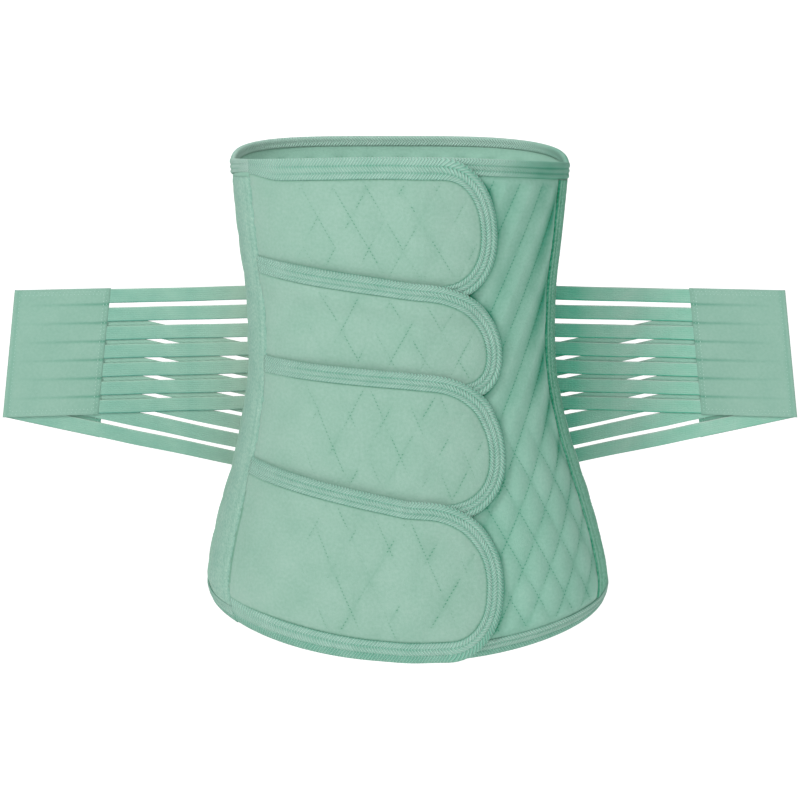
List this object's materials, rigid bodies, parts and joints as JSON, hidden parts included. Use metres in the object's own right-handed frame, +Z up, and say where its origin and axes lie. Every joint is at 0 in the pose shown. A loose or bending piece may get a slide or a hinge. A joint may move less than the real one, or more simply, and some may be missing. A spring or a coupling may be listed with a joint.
{
  "type": "abdominal binder",
  "caption": "Quilted wrap-around abdominal binder, worn and closed: overlapping rounded front tabs with bound edges, knitted side strips and crossed elastic pull straps at the sides.",
  "frame": {"origin": "the middle of the torso hollow at the waist, where the wrap is narrowest", "axes": "+Z up along the torso, the front with the tabs faces -Y, +X towards the wearer's left side, where the tabs' free ends point"},
  "size_m": [0.6492, 0.2262, 0.4],
  "materials": {
    "quilted_cloth": "matte quilted cotton knit, sage green",
    "binding": "soft ribbed elastic binding, sage green",
    "knit": "stretch knit, sage green",
    "elastic": "flat woven elastic, sage green",
    "patch_cloth": "smooth laminated cloth, sage green"
  },
  "bodies": {
    "root": {"back_panel": "quilted_cloth", "front_panel_right": "quilted_cloth", "top_binding": "binding", "bottom_binding": "binding", "side_strip_left": "knit", "side_strip_right": "knit", "tab_1": "quilted_cloth", "tab_2": "quilted_cloth", "tab_3": "quilted_cloth", "tab_4": "quilted_cloth", "tab_binding_1": "binding", "tab_binding_2": "binding", "tab_binding_3": "binding", "tab_binding_4": "binding", "strap_left_upper_1": "elastic", "strap_left_lower_1": "elastic", "strap_left_upper_2": "elastic", "strap_left_lower_2": "elastic", "strap_left_upper_3": "elastic", "strap_left_lower_3": "elastic", "strap_left_upper_4": "elastic", "strap_left_lower_4": "elastic", "strap_left_upper_5": "elastic", "strap_left_lower_5": "elastic", "strap_left_upper_6": "elastic", "strap_left_lower_6": "elastic", "strap_left_upper_7": "elastic", "strap_left_lower_7": "elastic", "hand_patch_left_front": "patch_cloth", "hand_patch_left_back": "patch_cloth", "strap_right_upper_1": "elastic", "strap_right_lower_1": "elastic", "strap_right_upper_2": "elastic", "strap_right_lower_2": "elastic", "strap_right_upper_3": "elastic", "strap_right_lower_3": "elastic", "strap_right_upper_4": "elastic", "strap_right_lower_4": "elastic", "strap_right_upper_5": "elastic", "strap_right_lower_5": "elastic", "strap_right_upper_6": "elastic", "strap_right_lower_6": "elastic", "strap_right_upper_7": "elastic", "strap_right_lower_7": "elastic", "hand_patch_right_front": "patch_cloth", "hand_patch_right_back": "patch_cloth"}
  },
  "joints": []
}
